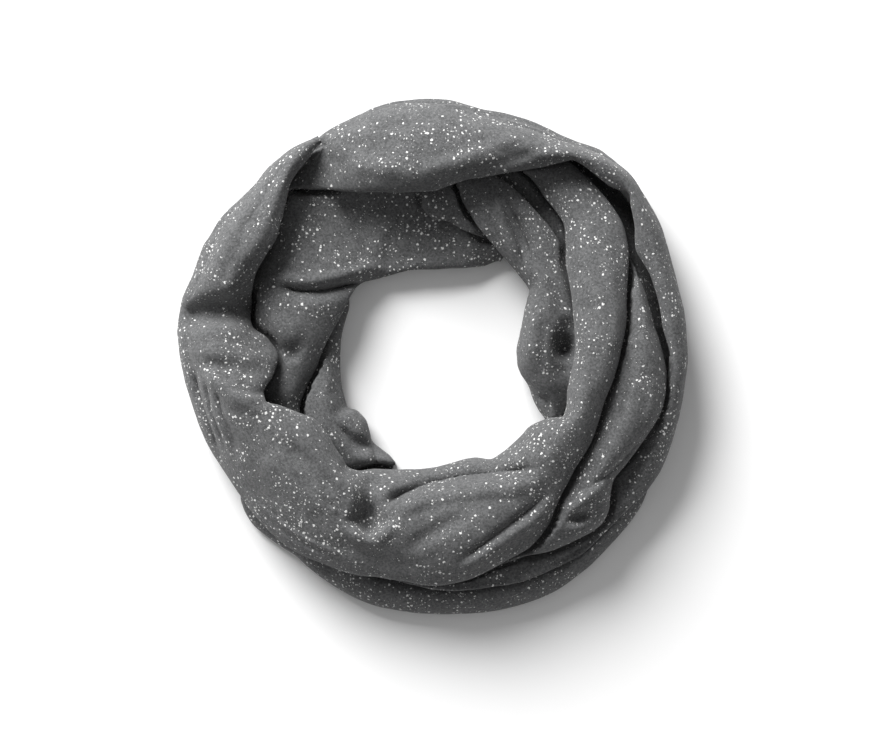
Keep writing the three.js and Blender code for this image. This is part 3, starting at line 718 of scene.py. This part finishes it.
@dataclass
class FanFold(Stretch):
    """The fold that fans out of the back and bulges into the opening on the right."""

    name = "fan_fold"
    start = -29
    end = 82
    lies_under = (("outer_turn", 34, 88), ("upper_turn", -34, 64))
    flat = (75.0, 200.0)

    inner_edge: RingCurve = ring_line(
        (-29, 87), (-26.6, 80.5), (-23, 73.9), (-17, 68), (-10, 60.1), (-4, 57.3), (3, 57),
        (14, 60.9), (26, 68.9), (31, 74.6), (35, 79.9), (45, 80.6), (54, 82.4), (61, 85.4),
        (69, 91.4), (75.5, 100.2), (79, 107), (82, 116))
    inner_height: RingCurve = ring_line(
        (-29, 14), (-10, 20), (10, 22), (30, 22), (46, 24), (58, 28), (70, 32), (82, 30))
    crest: RingCurve = ring_line(
        (-29, 90), (-15, 78), (0, 70), (15, 74), (30, 87), (45, 97), (60, 103), (72, 112),
        (82, 121))
    crest_height: RingCurve = ring_line(
        (-29, 24), (-12, 34), (0, 39), (20, 40), (45, 37), (60, 37), (75, 37), (82, 34))
    outer_edge: RingCurve = ring_line(
        (-29, 94), (-15, 98), (0, 101), (15, 104), (30, 109), (38.5, 112.4), (46, 115.3),
        (55, 118.5), (62, 122.6), (71, 128), (82, 133))
    outer_height: RingCurve = ring_line(
        (-29, 20), (0, 28), (20, 31), (40, 32), (60, 32), (82, 30))

    def rails(self) -> list[Rail]:
        """From the foot beside the opening, or the lip over it, to the outer roll."""
        footing = through((42, 1), (54, 0))
        return [
            *self.edge(self.inner_edge, self.inner_height, through((42, 3), (54, 7)),
                       steady(9), footing),
            (self.inner_edge.toward(self.crest, 0.4),
             self.inner_height.toward(self.crest_height, 0.76)),
            (self.crest, self.crest_height),
            (self.crest.toward(self.outer_edge, 0.6),
             self.crest_height.toward(self.outer_height, 0.4)),
            (self.outer_edge, self.outer_height),
            (self.outer_edge - 6, self.outer_height - 8),
        ]

    def folds(self) -> list[Fold]:
        """The hollow behind the bulge and the long creases of the fan."""
        return [
            soft(((90, 18), (88, 8), (88, -6)), 12, 12, -18),
            soft(((49, 104), (54, 92), (62, 68)), 5, 5, -4),
            crease(((47, 100), (51, 88), (57, 74), (62, 60)), 5, 6, -6),
            crease(((52, 103), (57, 92), (63, 78), (67, 64)), 5, 5, -5),
            soft(((56, 100), (61, 84), (68, 66)), 9, 9, -4),
            soft(((42, 104), (48, 88), (58, 66)), 5, 5, 2),
            crease(((68, -24), (76, -29), (81, -36)), 4, 4, -4),
            soft(((74, 56), (82, 40), (90, 26)), 6, 6, -2.5),
            soft(((66, 40), (66, 16), (66, -6)), 8, 8, 2.5),
        ]


@dataclass
class TuckedFold(Stretch):
    """The short fold that looks out from under the back band."""

    name = "tucked_fold"
    start = 64
    end = 93.8
    lies_under = (("outer_turn", 50, 99), ("fan_fold", 46, 88))
    rests_on = ("inner_turn",)
    flat = (42.0, 70.0)

    inner_edge: RingCurve = ring_line(
        (64, 89), (68, 87), (75, 87), (80, 89.4), (84, 92), (89, 93), (92, 97), (93.8, 101))

    def rails(self) -> list[Rail]:
        """From its rolled inner edge to the edge hidden under the band."""
        edge = self.inner_edge
        return [
            (edge + 5, steady(27)),
            (edge, through((64, 27), (93, 31))),
            (edge + 8, through((64, 29), (93, 36))),
            (edge + 18, through((64, 28), (93, 35))),
            (edge + 27, through((64, 26), (93, 31))),
        ]


@dataclass
class ShadedFold(Stretch):
    """The low fold in the shade between the fan and the top ridge."""

    name = "shaded_fold"
    start = 38
    end = 73
    lies_under = (
        ("outer_turn", 34, 79), ("fan_fold", 34, 88), ("upper_turn", 388, 428),
        ("tucked_fold", 50, 99))
    flat = (50.0, 92.0)

    inner_edge: RingCurve = ring_line((38, 106), (55, 112), (73, 121))

    def rails(self) -> list[Rail]:
        """Low at both hidden edges and higher between them."""
        edge = self.inner_edge
        return [(edge, steady(15)), (edge + 8, steady(19)), (edge + 18, steady(21)),
                (edge + 27, steady(19)), (edge + 34, steady(16))]


# ---- How the stretches lie on each other --------------------------------------------------


@dataclass
class Pile:
    """The stretches as they lie, each pressed down where another lies over it."""

    stretches: dict[str, Stretch]
    low_radius: float = 50.0
    high_radius: float = 190.0
    open_height: float = 95.0  # stands for no cloth overhead
    softness: float = 2.0  # how gently the cloth bends down under an edge
    steps: int = 160  # across a section whose underside is measured

    def __post_init__(self) -> None:
        """Prepares the undersides, which are measured when first asked for."""
        self.measured: dict[tuple[str, int], np.ndarray] = {}

    def underside(self, name: str, degree: int) -> np.ndarray:
        """The lowest height of a stretch at one degree, millimetre by millimetre outward.

        Args:
            name: the stretch.
            degree: the angle, as the stretch counts it.

        Returns:
            The heights, spread sideways by the reach; the open height beside the stretch.
        """
        key = (name, degree)
        if key not in self.measured:
            radius, height = self.settled(self.stretches[name], np.array([float(degree)]),
                                          self.steps)
            columns = int(self.high_radius - self.low_radius) + 1
            heights = np.full(columns, self.open_height)
            place = np.round(radius[0] - self.low_radius).astype(int)
            np.minimum.at(heights, np.clip(place, 0, columns - 1), height[0])
            spread = heights.copy()
            for step in range(1, REACH + 1):
                spread[step:] = np.minimum(spread[step:], heights[:-step])
                spread[:-step] = np.minimum(spread[:-step], heights[step:])
            self.measured[key] = spread
        return self.measured[key]

    def overhead(self, name: str, degree: int) -> np.ndarray:
        """The same, spread round the ring as well.

        Args:
            name: the stretch.
            degree: the angle, as the stretch counts it.

        Returns:
            The lowest heights within the reach to either side.
        """
        stretch = self.stretches[name]
        first, last = math.ceil(stretch.start), math.floor(stretch.end)
        near = range(degree - REACH_ANGLE, degree + REACH_ANGLE + 1)
        degrees = sorted({min(max(d, first), last) for d in near})
        return np.min([self.underside(name, d) for d in degrees], axis=0)

    def ceiling(self, stretch: Stretch, angles: np.ndarray,
                radius: np.ndarray) -> np.ndarray:
        """How high the middle of a wall may lie at each place.

        Args:
            stretch: the stretch of cloth.
            angles: where its sections are, in degrees.
            radius: the radius of every point, one row for each angle.

        Returns:
            The heights, or the open height where nothing lies over the place.
        """
        ceiling = np.full(radius.shape, self.open_height)
        columns = np.arange(int(self.high_radius - self.low_radius) + 1) + self.low_radius
        for row, angle in enumerate(angles):
            for name, start, end in stretch.lies_under:
                upper = self.stretches[name]
                for turned in (angle - 360, angle, angle + 360):
                    reached = upper.start - REACH_ANGLE <= turned <= upper.end + REACH_ANGLE
                    if not (self.within(angle, start, end) and reached):
                        continue
                    degree = math.floor(turned)
                    part = turned - degree
                    levels = self.overhead(name, degree) * (1 - part)
                    levels = levels + self.overhead(name, degree + 1) * part
                    over = np.interp(radius[row], columns, levels) - LAYER_PITCH
                    ceiling[row] = np.minimum(ceiling[row], over)
        return ceiling

    @staticmethod
    def within(angle: float, start: float, end: float) -> bool:
        """Whether an angle lies between two others, counted with or without a turn."""
        return any(start <= angle + turn <= end for turn in (-360, 0, 360))

    def settled(self, stretch: Stretch, angles: np.ndarray,
                steps: int) -> tuple[np.ndarray, np.ndarray]:
        """The stretch's sections, pressed down under what lies over them.

        Args:
            stretch: the stretch of cloth.
            angles: where the sections are, in degrees.
            steps: steps along each section.

        Returns:
            Radius and height, one row for each angle.
        """
        radius, height = stretch.section(angles, steps)
        if not stretch.lies_under:
            return radius, height
        ceiling = self.ceiling(stretch, angles, radius)
        overlap = np.clip(1 - np.abs(height - ceiling) / self.softness, 0, 1)
        pressed = np.minimum(height, ceiling) - overlap**2 * self.softness / 4
        low = np.minimum(height, WALL / 2)
        return radius, np.maximum(pressed, low)


@dataclass
class ClothMaker:
    """Makes the shell of a stretch as the pile holds it."""

    pile: Pile
    finish: "JerseyFinish"
    ripple: float = 0.7  # height of the soft unevenness all over the cloth
    ripple_size: float = 24.0
    ripple_places: tuple[float, float] = (3.1, 1.7)  # from one stretch's waves to the next's
    fine_ratio: float = 2.3  # how much closer the finer waves are
    fine_share: float = 0.4  # and how high they are beside the broad ones
    calm_height: float = 6.0  # below this the cloth lies ever flatter on the floor
    trial_angles: int = 30  # sections that find how many faces a shell needs
    trial_steps: int = 40

    def grid(self, stretch: Stretch) -> np.ndarray:
        """Points of the wall's middle.

        Args:
            stretch: the stretch of cloth.

        Returns:
            Places in metres, by angle and place across.
        """
        trial = np.linspace(stretch.start, stretch.end, self.trial_angles)
        radius, height = stretch.section(trial, self.trial_steps)
        across = np.hypot(np.diff(radius), np.diff(height)).sum(axis=1).max()
        round_length = math.radians(stretch.end - stretch.start) * radius.mean()
        rows = math.ceil(round_length / FACE_SIZE)
        columns = math.ceil(across / FACE_SIZE)
        angles = np.linspace(stretch.start, stretch.end, rows + 1)
        radius, height = self.pile.settled(stretch, angles, columns)
        turn = np.radians(angles)[:, None]
        return np.stack([radius * np.cos(turn), radius * np.sin(turn), height], axis=2) * MM

    @staticmethod
    def normals(points: np.ndarray) -> np.ndarray:
        """Unit normals of the surface through the points."""
        normals = np.cross(np.gradient(points, axis=1), np.gradient(points, axis=0))
        return normals / (np.linalg.norm(normals, axis=2, keepdims=True) + 1e-12)

    @staticmethod
    def measured(points: np.ndarray) -> tuple[np.ndarray, np.ndarray]:
        """How far along and across the cloth the points lie.

        Args:
            points: the wall's middle.

        Returns:
            Metres along for each row, and metres across for each point.
        """
        runs = np.linalg.norm(np.diff(points, axis=0), axis=2).mean(axis=1)
        widths = np.linalg.norm(np.diff(points, axis=1), axis=2)
        start = np.zeros((len(points), 1))
        return (np.concatenate([[0], np.cumsum(runs)]),
                np.concatenate([start, np.cumsum(widths, axis=1)], axis=1))

    def creased(self, points: np.ndarray, stretch: Stretch) -> np.ndarray:
        """The points with the side folds pushed in or out of the outer wall.

        Args:
            points: the wall's middle.
            stretch: the stretch of cloth.

        Returns:
            The moved points.
        """
        folds = stretch.side_folds()
        if not folds:
            return points
        turn = np.radians(np.linspace(stretch.start, stretch.end, len(points)))[:, None]
        outward = np.stack([np.cos(turn), np.sin(turn), np.zeros_like(turn)], axis=2)
        normals = self.normals(points)
        normals *= np.sign(normals[..., 2].mean())
        steepness = np.clip((normals * outward).sum(axis=2), 0, 1) ** 2
        height = points[..., 2] / MM
        along = np.broadcast_to(turn * SIDE_RADIUS, height.shape)
        push = sum(fold.height(along, height) for fold in folds) * steepness * MM
        return points + outward * push[..., None]

    def rippled(self, points: np.ndarray, seed: int) -> np.ndarray:
        """The points moved a little along the cloth's normals, as soft jersey lies.

        Args:
            points: the wall's middle.
            seed: picks the stretch's own waves.

        Returns:
            The moved points, none of them under the floor.
        """
        normals = self.normals(points)
        offset = Vector((*(seed * place for place in self.ripple_places), 0))
        size = self.ripple_size * MM
        flat = points.reshape(-1, 3)
        waves = np.array([noise.noise(Vector(p) / size + offset) for p in flat])
        fine = np.array([noise.noise(Vector(p) / size * self.fine_ratio + offset) for p in flat])
        moved = (waves + self.fine_share * fine).reshape(points.shape[:2]) * self.ripple * MM
        floor = np.clip(points[..., 2] / (self.calm_height * MM), 0, 1)
        points = points + normals * (moved * floor)[..., None]
        points[..., 2] = np.maximum(points[..., 2], WALL / 2 * MM)
        return points

    def mesh(self, points: np.ndarray, name: str) -> bpy.types.Mesh:
        """The mesh through the points, with a map that follows the cloth.

        Args:
            points: the wall's middle.
            name: the mesh's name.

        Returns:
            The mesh, mapped in metres along and across the cloth.
        """
        rows, columns = points.shape[0] - 1, points.shape[1] - 1
        along, across = self.measured(points)
        mesh = bpy.data.meshes.new(name)
        shell = bmesh.new()
        bmesh.ops.create_grid(shell, x_segments=rows, y_segments=columns, size=1)
        weave = shell.loops.layers.uv.new("weave")
        for vert in shell.verts:
            i = round((vert.co.x + 1) / 2 * rows)
            j = round((vert.co.y + 1) / 2 * columns)
            for loop in vert.link_loops:
                loop[weave].uv = (along[i], across[i, j])
            vert.co = points[i, j]
        bmesh.ops.reverse_faces(shell, faces=shell.faces)
        for face in shell.faces:
            face.smooth = True
        shell.to_mesh(mesh)
        shell.free()
        return mesh

    def make(self, stretch: Stretch, seed: int) -> bpy.types.Object:
        """Args:
            stretch: the stretch of cloth.
            seed: picks its own unevenness.

        Returns:
            The piece.
        """
        points = self.rippled(self.creased(self.grid(stretch), stretch), seed)
        mesh = self.mesh(points, stretch.name + "_cloth")
        piece = bpy.data.objects.new(stretch.name + "_cloth", mesh)
        bpy.context.scene.collection.objects.link(piece)
        wall = piece.modifiers.new("double_ply", "SOLIDIFY")
        wall.thickness = WALL * MM
        wall.offset = 0
        wall.use_even_offset = False
        mesh.materials.append(self.finish.material)
        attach(piece, "root")
        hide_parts(stretch.name)
        list(stretch.rests_on)
        along, across = self.measured(points)
        area = sum(polygon.area for polygon in mesh.polygons)
        LOG.info("%s: %d faces, %.0f by %.0f mm, %.4f m2", piece.name, len(mesh.polygons),
                 across[:, -1].mean() / MM, along[-1] / MM, area)
        return piece


# ---- Shader maths -------------------------------------------------------------------------


@dataclass(frozen=True)
class Shade:
    """A node socket that takes part in sums, products and comparisons."""

    tree: bpy.types.NodeTree
    socket: bpy.types.NodeSocket

    def math(self, operation: str, *others: "Shade | float",
             clamped: bool = False) -> "Shade":
        """Adds a Math node on this value and the others."""
        inputs = {index + 1: other for index, other in enumerate(others)}
        return add_node(self.tree, "ShaderNodeMath",
                        {"operation": operation, "use_clamp": clamped}, {0: self, **inputs})

    def __add__(self, other: "Shade | float") -> "Shade":
        """This value plus another."""
        return self.math("ADD", other)

    def __radd__(self, other: float) -> "Shade":
        """A number plus this value."""
        return self.math("ADD", other)

    def __sub__(self, other: "Shade | float") -> "Shade":
        """This value less another."""
        return self.math("SUBTRACT", other)

    def __rsub__(self, other: float) -> "Shade":
        """A number less this value."""
        return (self * -1) + other

    def __mul__(self, other: "Shade | float") -> "Shade":
        """This value times another."""
        return self.math("MULTIPLY", other)

    def __rmul__(self, other: float) -> "Shade":
        """A number times this value."""
        return self.math("MULTIPLY", other)

    def step(self, low: float, high: float) -> "Shade":
        """0 at low and below, 1 at high and above, smooth between."""
        return add_node(self.tree, "ShaderNodeMapRange", {"interpolation_type": "SMOOTHSTEP"},
                        {"Value": self, "From Min": low, "From Max": high})


def add_node(tree: bpy.types.NodeTree, kind: str, settings: dict, inputs: dict,
             output: int | str = 0) -> Shade:
    """Adds a node, its settings first and then its sockets.

    Args:
        tree: the node tree.
        kind: the node's type.
        settings: its properties.
        inputs: values or links by socket name or index.
        output: the socket that is handed back.

    Returns:
        That output as a Shade.
    """
    node = tree.nodes.new(kind)
    for name, value in settings.items():
        setattr(node, name, value)
    for key, value in inputs.items():
        if isinstance(value, Shade):
            tree.links.new(value.socket, node.inputs[key])
        else:
            node.inputs[key].default_value = value
    return Shade(tree, node.outputs[output])


@dataclass(frozen=True)
class JerseyFinish:
    """Soft charcoal melange jersey with white neps knitted in."""

    yarn: tuple[float, float, float, float] = (0.140, 0.141, 0.143, 1)
    dark_yarn: tuple[float, float, float, float] = (0.047, 0.048, 0.049, 1)
    nep: tuple[float, float, float, float] = (0.76, 0.76, 0.75, 1)
    fuzz: float = 0.12
    fuzz_roughness: float = 0.6
    roughness: float = 0.95
    large_nep: float = 1.0  # radius of the largest neps, in millimetres
    small_nep: float = 0.45
    large_spacing: float = 2.4
    small_spacing: float = 1.5
    wobble: float = 0.0019  # how far specks are pulled out of round, in metres
    large_share: tuple[float, float] = (0.07, 0.62)  # with large specks: least, and more
    small_share: tuple[float, float] = (0.14, 0.30)  # where they crowd; and small ones
    nep_cover: float = 0.9
    crowd_scale: float = 42.0  # patches to a metre, of crowded specks
    patch_scale: float = 120.0  # of lighter and darker yarn
    heather_scale: float = 620.0
    fibre_scale: float = 1500.0
    wobble_scale: float = 750.0
    bump_strength: float = 0.5
    bump_height: float = 0.0004
    stitch_width: float = 1.3  # in millimetres
    stitch_height: float = 1.0
    stitch_relief: float = 0.25
    name: str = "speckled_jersey"

    @property
    def material(self) -> bpy.types.Material:
        """The material, made when first asked for."""
        return bpy.data.materials.get(self.name) or self.make()

    def neps(self, place: Shade, spacing: float, radius: float, share: Shade) -> Shade:
        """A mask of scattered specks.

        Args:
            place: where the surface is, in metres.
            spacing: the mean distance between places for a speck, in millimetres.
            radius: the largest speck's radius, in millimetres.
            share: the part of the places that hold a speck.

        Returns:
            1 on a speck and 0 beside it.
        """
        tree = place.tree
        distance = add_node(tree, "ShaderNodeTexVoronoi", {"voronoi_dimensions": "3D"},
                            {"Scale": 1 / (spacing * MM), "Vector": place}, "Distance")
        chance = Shade(tree, distance.socket.node.outputs["Color"])
        pick, size = (add_node(tree, "ShaderNodeSeparateColor", {}, {"Color": chance}, channel)
                      for channel in (0, 1))
        reach = (size * 0.65 + 0.35) * (radius / spacing)
        inside = (reach - distance) * (spacing / radius)
        return inside.step(0.0, 0.22) * (share - pick).step(0.0, 0.01)

    def stitches(self, tree: bpy.types.NodeTree) -> Shade:
        """The rows of small V shapes of plain jersey, from the cloth's own map.

        Args:
            tree: the node tree to add them to.

        Returns:
            A wave from -1 to 1 across each row of stitches.
        """
        chart = add_node(tree, "ShaderNodeTexCoord", {}, {}, "UV")
        along, across = (add_node(tree, "ShaderNodeSeparateXYZ", {}, {"Vector": chart}, axis)
                         for axis in "XY")
        column = (across * (1 / (self.stitch_width * MM))).math("FRACT")
        arm = (column - 0.5).math("ABSOLUTE")
        row = along * (1 / (self.stitch_height * MM)) + arm
        return (row * (2 * math.pi)).math("SINE")

    def make(self) -> bpy.types.Material:
        """Builds the node tree.

        Returns:
            The material.
        """
        material = bpy.data.materials.new(self.name)
        material.use_nodes = True
        tree = material.node_tree
        tree.nodes.clear()
        place = add_node(tree, "ShaderNodeTexCoord", {}, {}, "Object")

        def cloud(scale: float, detail: float = 2.0) -> Shade:
            """Noise whose patches are about 1 / scale metres across."""
            return add_node(tree, "ShaderNodeTexNoise", {},
                            {"Vector": place, "Scale": scale, "Detail": detail})

        def mixed(share: Shade, first: tuple | Shade, second: tuple | Shade) -> Shade:
            """The first colour with a share of the second over it."""
            return add_node(tree, "ShaderNodeMix", {"data_type": "RGBA"},
                            {0: share, 6: first, 7: second}, 2)

        wobble = add_node(tree, "ShaderNodeTexNoise", {},
                          {"Vector": place, "Scale": self.wobble_scale, "Detail": 2.0},
                          "Color")
        shift = add_node(tree, "ShaderNodeVectorMath", {"operation": "MULTIPLY_ADD"},
                         {0: wobble, 1: (self.wobble,) * 3, 2: place})
        crowding = cloud(self.crowd_scale, 3.0).step(0.38, 0.66)
        large, small = (
            self.neps(shift, spacing, radius, crowding * more + least)
            for spacing, radius, (least, more) in (
                (self.large_spacing, self.large_nep, self.large_share),
                (self.small_spacing, self.small_nep, self.small_share)))
        specks = (large + small).math("MINIMUM", 1.0)
        heather = cloud(self.heather_scale, 3.0).step(0.36, 0.64)
        fibre = cloud(self.fibre_scale, 1.0).step(0.30, 0.70)
        patches = cloud(self.patch_scale, 3.0).step(0.25, 0.75)
        blend = heather * 0.5 + fibre * 0.3 + patches * 0.2
        yarn = mixed(blend, self.dark_yarn, self.yarn)
        cloth = mixed(specks * self.nep_cover, yarn, self.nep)
        relief = (fibre * 0.5 + heather * 0.4 + specks * 0.9
                  + self.stitches(tree) * self.stitch_relief)
        bump = add_node(tree, "ShaderNodeBump", {},
                        {"Strength": self.bump_strength, "Distance": self.bump_height,
                         "Height": relief})
        surface = add_node(tree, "ShaderNodeBsdfPrincipled", {}, {
            "Base Color": cloth, "Roughness": self.roughness, "Normal": bump,
            "Sheen Weight": self.fuzz, "Sheen Roughness": self.fuzz_roughness,
            "Specular IOR Level": 0.2})
        output = tree.nodes.new("ShaderNodeOutputMaterial")
        tree.links.new(surface.socket, output.inputs["Surface"])
        return material


# ---- The studio ---------------------------------------------------------------------------


@dataclass
class Studio:
    """A plain pale floor, soft light from the back left, and the camera overhead."""

    aim: tuple[float, float] = (0.0047, -0.0123)
    camera_height: float = 2.535
    view_width: float = 0.5867  # across the picture, at the scarf's middle height
    middle_height: float = 0.035
    floor_size: float = 6.0
    floor_color: tuple[float, float, float, float] = (0.9, 0.9, 0.9, 1)
    floor_roughness: float = 0.9
    key_energy: float = 450.0
    key_size: float = 3.0
    key_place: tuple[float, float, float] = (-1.85, 3.35, 2.5)
    sky: float = 0.35

    def build(self) -> None:
        """Adds the floor, the lights and the camera."""
        self.add_floor()
        self.add_lights()
        self.add_camera()
        view = bpy.context.scene.view_settings
        view.view_transform = "Standard"
        view.look = "None"

    def add_floor(self) -> None:
        """A plain pale floor, well past the picture's edges."""
        sheet = bmesh.new()
        bmesh.ops.create_grid(sheet, x_segments=1, y_segments=1, size=self.floor_size / 2)
        mesh = bpy.data.meshes.new("floor")
        sheet.to_mesh(mesh)
        sheet.free()
        floor = bpy.data.objects.new("floor", mesh)
        bpy.context.scene.collection.objects.link(floor)
        paper = bpy.data.materials.new("pale_floor")
        paper.use_nodes = True
        shader = paper.node_tree.nodes["Principled BSDF"]
        shader.inputs["Base Color"].default_value = self.floor_color
        shader.inputs["Roughness"].default_value = self.floor_roughness
        mesh.materials.append(paper)

    def add_lights(self) -> None:
        """An even sky and one broad lamp at the back left."""
        world = bpy.data.worlds.new("soft_sky")
        world.use_nodes = True
        sky = world.node_tree.nodes["Background"]
        sky.inputs["Color"].default_value = (1, 1, 1, 1)
        sky.inputs["Strength"].default_value = self.sky
        bpy.context.scene.world = world

        lamp = bpy.data.lights.new("key", "AREA")
        lamp.energy = self.key_energy
        lamp.shape = "DISK"
        lamp.size = self.key_size
        key = bpy.data.objects.new("key", lamp)
        key.location = self.key_place
        key.rotation_euler = (-Vector(self.key_place)).to_track_quat("-Z", "Y").to_euler()
        bpy.context.scene.collection.objects.link(key)

    def add_camera(self) -> None:
        """Straight above, framed at the scarf's middle height."""
        lens = bpy.data.cameras.new("overhead")
        lens.sensor_width = 36.0
        distance = self.camera_height - self.middle_height
        lens.lens = lens.sensor_width * distance / self.view_width
        lens.clip_end = 20
        camera = bpy.data.objects.new("overhead", lens)
        camera.location = (*self.aim, self.camera_height)
        bpy.context.scene.collection.objects.link(camera)
        bpy.context.scene.camera = camera


def main() -> None:
    """Builds the studio and every stretch of the scarf, in order."""
    logging.basicConfig(level=logging.INFO, format="%(name)s: %(message)s")
    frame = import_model()
    Studio().build()
    kinds = (OuterTurn, UnderTurn, UpperTurn, SecondRidge, InnerTurn, LowerInnerTurn,
             FanFold, TuckedFold, ShadedFold)
    stretches = {kind.name: kind() for kind in kinds}
    finish = JerseyFinish()
    maker = ClothMaker(Pile(stretches), finish)
    for seed, stretch in enumerate(stretches.values()):
        maker.make(stretch, seed)
    for slot in frame["nodes"]["hidden_layers"].material_slots:
        slot.material = finish.material


if __name__ == "__main__":
    main()
